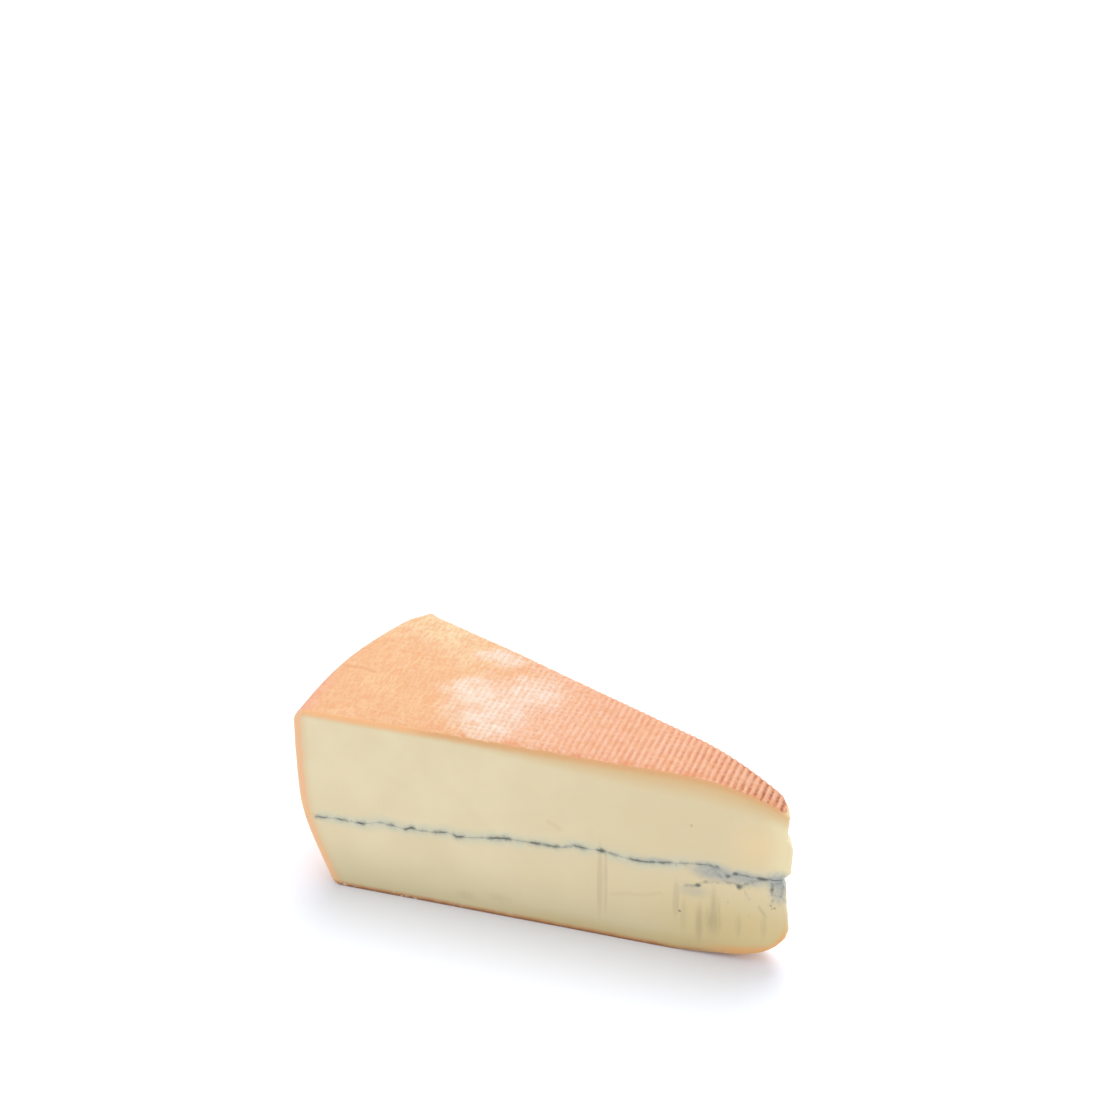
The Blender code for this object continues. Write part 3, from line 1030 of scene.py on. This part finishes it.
rindLook = {
    "peach": tint(221, 177, 130),
    "warm": tint(219, 169, 124),
    "pink": tint(222, 178, 148),
    "salmon": tint(223, 172, 139),
    "tip": tint(217, 166, 132),
    "corner": tint(222, 160, 132),
    # Painted shade in the grooves, redder toward the tip
    "groove": tint(194, 110, 80),
    "grooveTip": tint(160, 80, 56),
    "bloom": tint(222, 203, 184),
    "thread": tint(228, 212, 193),
    # A painted highlight along the far top edge
    "farEdgeHighlight": tint(221, 195, 152),
    "nearEdge": tint(208, 134, 84),
    # Painted shade along the crease by the heel
    "crease": tint(204, 138, 90),
    "side": tint(240, 190, 142),
    "sideDeep": tint(233, 177, 129),
    "under": tint(226, 170, 124),
    "underPale": tint(236, 194, 152),
    "grain": tint(213, 146, 96),
    "roughness": (0.5, 0.75),
    "glow": 0.12,  # how much light goes into it
    "glowRadius": (1.0, 0.6, 0.3),
    "glowScale": 0.002,
    "bump": (0.5, 0.0005),  # strength and depth
    # Where colours start and where they are full, in millimetres from the tip
    "pinkReach": (130, 105),
    "salmonReach": (105, 78),
    "tipReach": (26, 4),
    "farHighlightReach": (100, 130),
    "nearEdgeReach": (140, 110),
    "grooveReach": (60, 6),
    "grooveTipReach": (30, 6),
    # The same, from the heel, the shown cut, the far cut, the top and the table
    "cornerFromHeel": (9, 1),
    "cornerAcross": (34, 8),
    "nearEdgeAcross": (4.5, 0.5),
    "farHighlightGap": (36, 5),
    "sideFromTop": (1.5, 4.5),
    "underHeight": (5, 1.5),
    # Ovals of bloom on the top, in millimetres from the tip and from the shown cut
    "bloomOvals": (((103, 19), (13, 14)), ((100, 7), (8, 8)), ((93, 33), (8, 9)), ((112, 28), (8, 9)),
                   ((110, 50), (9, 4))),
}


def topColour(look, place, reach, across, fromHeel, farGap):
    # Peach at the heel, pinker past the middle, salmon at the tip, and a painted highlight along the far edge
    # by the heel
    colour = mix(fade(cloud(place, 12, 4), 0.35, 0.65), look["peach"], look["warm"])
    drifted = wander(reach, place, 18, 30, 3)
    colour = mix(fade(drifted, *look["pinkReach"]), colour, look["pink"])
    colour = mix(fade(drifted, *look["salmonReach"]), colour, look["salmon"])
    colour = mix(fade(reach, *look["tipReach"]), colour, look["tip"])
    nearHeel = fade(fromHeel, *look["cornerFromHeel"])
    nearHeel = times(nearHeel, fade(across, *look["cornerAcross"]))
    colour = mix(nearHeel, colour, look["corner"])
    # The painted highlight along the far edge, toward the heel
    far = fade(wander(farGap, place, 12, 14, 3, 2.0), *look["farHighlightGap"])
    far = times(far, fade(reach, *look["farHighlightReach"]))
    return mix(far, colour, look["farEdgeHighlight"])


def bloomShare(look, place):
    sway = maths("SUBTRACT", cloud(place, 9, 3, shift=3.0), 0.5)
    bent = vectorMaths("MULTIPLY_ADD", sway, (14, 14, 0), place)
    shares = []
    for (reach, across), (halfReach, halfAcross) in look["bloomOvals"]:
        centre = (reach, across, wheel["height"] * mm)
        shares.append(patch(bent, centre, (halfReach, halfAcross, 12), 0.55))
    return times(highest(shares), fade(cloud(place, 5, 4), 0.35, 0.65, 0.5, 1))


def bloomColour(look, place, colour, bloom, groove):
    # The white bloom, caught on the threads
    caught = times(bloom, fade(groove, 0.8, 0.1, 0.35, 1))
    colour = mix(caught, colour, look["bloom"])
    bright = fade(cloud(place, 1.5, 3, shift=7.0), 0.5, 0.68)
    threads = times(bloom, fade(groove, 0.3, 0.02), bright)
    return mix(threads, colour, look["thread"])


def grooveColour(look, place, colour, reach, groove, bare):
    # Painted shade in the grooves, deepest at the tip, and painted shade along the crease by the heel
    deep = times(fade(groove, 0.1, 1.1), fade(reach, *look["grooveReach"], 0.58, 1))
    dark = mix(fade(reach, *look["grooveTipReach"]), look["groove"], look["grooveTip"])
    colour = mix(times(deep, bare), colour, dark)
    # Painted shade along the crease's line
    line = [(x * mm, y * mm, wheel["height"] * mm) for x, y in crease["line"]]
    gap = strokeGap(place, line)
    return mix(fade(gap, 1.3, 0.1, 0, 0.6), colour, look["crease"])


def printColour(look, place, colour, reach, across, bare):
    # Darker blobs along the near edge, and the faint print of single threads both ways
    blobs = fade(cloud(place, 3.2, 3, shift=6.0), 0.42, 0.6)
    blobs = times(blobs, fade(across, *look["nearEdgeAcross"]))
    blobs = times(blobs, fade(reach, *look["nearEdgeReach"]))
    colour = mix(times(blobs, 0.7), colour, look["nearEdge"])
    lines = cloud(place, 0.8, 4, stretch=(1, 0.25, 1))
    strands = cloud(place, 0.9, 4, stretch=(0.25, 1, 1), shift=4.0)
    grain = fade(maths("ADD", lines, times(strands, 0.5)), 0.62, 0.92, 0, 0.6)
    return mix(times(grain, bare), colour, look["grain"])


def sideColour(look, place, colour, fromTop, height, groove):
    # The heel's side, and the underside, with painted shade in the underside's grooves
    side = mix(fade(cloud(place, 14, 5), 0.3, 0.75), look["side"], look["sideDeep"])
    colour = mix(fade(fromTop, *look["sideFromTop"]), colour, side)
    under = mix(fade(cloud(place, 9, 5), 0.4, 0.75), look["under"], look["underPale"])
    under = mix(fade(groove, 0.1, 1.1, 0, 0.45), under, look["groove"])
    return mix(fade(height, *look["underHeight"]), colour, under)


def makeRind():
    look = rindLook
    material, shader = newMaterial("rind")
    place, (reach, across, height) = readMesh("place")
    depths = readMesh("depths")[1]
    fromTop, fromHeel = depths[0], depths[2]
    groove, farGap = readMesh("layers")[1][1:]

    colour = topColour(look, place, reach, across, fromHeel, farGap)
    bloom = bloomShare(look, place)
    bare = maths("SUBTRACT", 1, times(bloom, 0.7))
    colour = bloomColour(look, place, colour, bloom, groove)
    colour = grooveColour(look, place, colour, reach, groove, bare)
    colour = printColour(look, place, colour, reach, across, bare)
    colour = sideColour(look, place, colour, fromTop, height, groove)
    setFinish(shader, look, colour, cloud(place, 2, 3), cloud(place, 0.8, 4))
    return material


ashLook = {
    "dark": tint(104, 107, 97),
    "pale": tint(178, 179, 162),
    "roughness": 0.8,
    "bump": (0.5, 0.0003),  # strength and depth
}


def makeAshMaterial():
    material, shader = newMaterial("ash dust")
    place = readMesh("place")[0]
    uneven = wander(readAmount(), place, 0.9, 0.5, 3)
    colour = mix(fade(uneven, 0.45, 1.05), ashLook["pale"], ashLook["dark"])
    put(shader.inputs["Base Color"], colour)
    shader.inputs["Roughness"].default_value = ashLook["roughness"]
    addBump(shader, cloud(place, 0.5, 3), *ashLook["bump"])
    return material


paste = makePaste()
rind = makeRind()
curd = makeCurd([paste, rind])
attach(curd, "root")
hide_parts("cheese")
print("the curd and its rind are made,", len(curd.data.polygons), "faces")

ashPiece = makeAsh(makeAshMaterial())
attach(ashPiece, "root")
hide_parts("ash_layer")
print("the ash is made,", len(ashPiece.data.polygons), "faces")

studio = {
    "cameraPlace": (0.35683, -0.60907, 0.48862),
    "cameraTurn": (62.739, 0, 30.669),
    "lens": 85,
    "floorSize": 12,
    "floorColour": tint(247, 249, 254),
    "floorRoughness": 0.9,
    "skyColour": (0.93, 0.95, 1, 1),
    "skyStrength": 0.88,
    "lampPlace": (-0.15, 0.45, 1.2),
    "lampAim": (0, 0, 0.03),
    "lampSize": 1.1,
    "lampPower": 10.5,
}


def makeFloor():
    material, shader = newMaterial("pale floor")
    shader.inputs["Base Color"].default_value = studio["floorColour"]
    shader.inputs["Roughness"].default_value = studio["floorRoughness"]
    mesh = bmesh.new()
    bmesh.ops.create_grid(mesh, x_segments=1, y_segments=1, size=studio["floorSize"] / 2)
    data = bpy.data.meshes.new("floor")
    mesh.to_mesh(data)
    mesh.free()
    data.materials.append(material)
    floor = bpy.data.objects.new("floor", data)
    bpy.context.scene.collection.objects.link(floor)


def makeLight():
    world = bpy.data.worlds.new("studio")
    world.use_nodes = True
    sky = world.node_tree.nodes["Background"]
    sky.inputs["Color"].default_value = studio["skyColour"]
    sky.inputs["Strength"].default_value = studio["skyStrength"]
    bpy.context.scene.world = world
    lamp = bpy.data.lights.new("softbox", "AREA")
    lamp.shape = "DISK"
    lamp.size = studio["lampSize"]
    lamp.energy = studio["lampPower"]
    softbox = bpy.data.objects.new("softbox", lamp)
    softbox.location = studio["lampPlace"]
    toAim = Vector(studio["lampAim"]) - Vector(studio["lampPlace"])
    softbox.rotation_euler = toAim.to_track_quat("-Z", "Y").to_euler()
    bpy.context.scene.collection.objects.link(softbox)
    bpy.context.scene.view_settings.view_transform = "Standard"


def makeCamera():
    data = bpy.data.cameras.new("camera")
    data.lens = studio["lens"]
    camera = bpy.data.objects.new("camera", data)
    camera.location = studio["cameraPlace"]
    camera.rotation_euler = [math.radians(turn) for turn in studio["cameraTurn"]]
    bpy.context.scene.collection.objects.link(camera)
    bpy.context.scene.camera = camera


makeFloor()
makeLight()
makeCamera()
print("the floor, light and camera are set")

bpy.context.view_layer.update()
